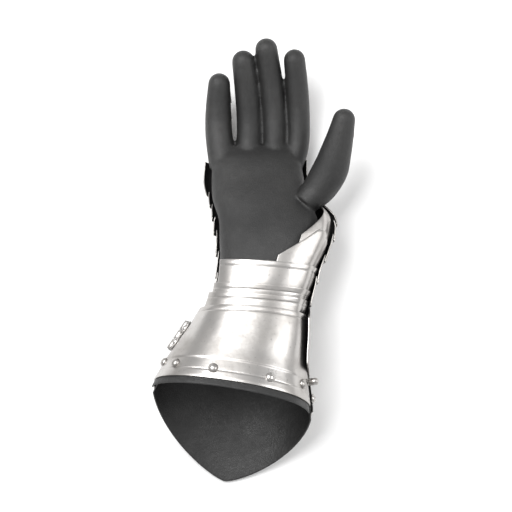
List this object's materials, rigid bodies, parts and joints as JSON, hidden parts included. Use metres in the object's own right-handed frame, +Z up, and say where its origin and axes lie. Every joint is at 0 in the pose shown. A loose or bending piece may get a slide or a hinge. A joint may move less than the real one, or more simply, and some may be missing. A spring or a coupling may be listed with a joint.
{
  "type": "armoured gauntlet",
  "caption": "Hourglass gauntlet for the right hand: leather glove under steel plates, flared cuff hinged along one side, lying palm up.",
  "frame": {"origin": "centre of the footprint, on the surface that the gauntlet lies on", "axes": "+Y from the elbow to the fingertips, +X to the thumb side, +Z up out of the palm"},
  "size_m": [0.1848, 0.4066, 0.1074],
  "materials": {
    "steel": "satin steel, lightly tarnished",
    "leather": "black leather, slightly glossy"
  },
  "bodies": {
    "back": {"cuff_back_plate": "steel", "cuff_back_lining": "leather", "wrist_back_lame_1": "steel", "wrist_back_lame_2": "steel", "wrist_back_lame_3": "steel", "metacarpal_lame_1": "steel", "metacarpal_lame_2": "steel", "metacarpal_lame_3": "steel", "knuckle_plate": "steel", "glove_palm": "leather", "glove_back": "leather", "glove_thumb": "leather", "little_scale_1": "steel", "little_scale_2": "steel", "little_scale_3": "steel", "little_scale_4": "steel", "ring_scale_1": "steel", "ring_scale_2": "steel", "ring_scale_3": "steel", "ring_scale_4": "steel", "middle_scale_1": "steel", "middle_scale_2": "steel", "middle_scale_3": "steel", "middle_scale_4": "steel", "index_scale_1": "steel", "index_scale_2": "steel", "index_scale_3": "steel", "index_scale_4": "steel", "thumb_scale_1": "steel", "thumb_scale_2": "steel", "thumb_scale_3": "steel", "rim_rivet_back_1": "steel", "rim_rivet_back_2": "steel", "rim_rivet_back_3": "steel", "rim_rivet_back_4": "steel", "rim_rivet_back_5": "steel", "rim_rivet_back_6": "steel", "rim_rivet_back_7": "steel", "hinge_back_leaf": "steel", "hinge_pin": "steel"},
    "front": {"cuff_front_plate": "steel", "cuff_front_lining": "leather", "hinge_front_leaf": "steel", "locking_pin": "steel", "wrist_front_lame_1": "steel", "wrist_front_lame_2": "steel", "wrist_front_lame_3": "steel", "thumb_wing_lame_1": "steel", "thumb_wing_lame_2": "steel", "rim_rivet_front_1": "steel", "rim_rivet_front_2": "steel", "rim_rivet_front_3": "steel", "rim_rivet_front_4": "steel", "rim_rivet_front_5": "steel"}
  },
  "joints": [
    {"name": "cuff_hinge", "type": "hinge", "parent": "back", "child": "front", "pos_m": [-0.06872, -0.07396, 0.0535], "axis": [-0.5584, -0.8296, 0], "range_deg": [0, 60]}
  ]
}
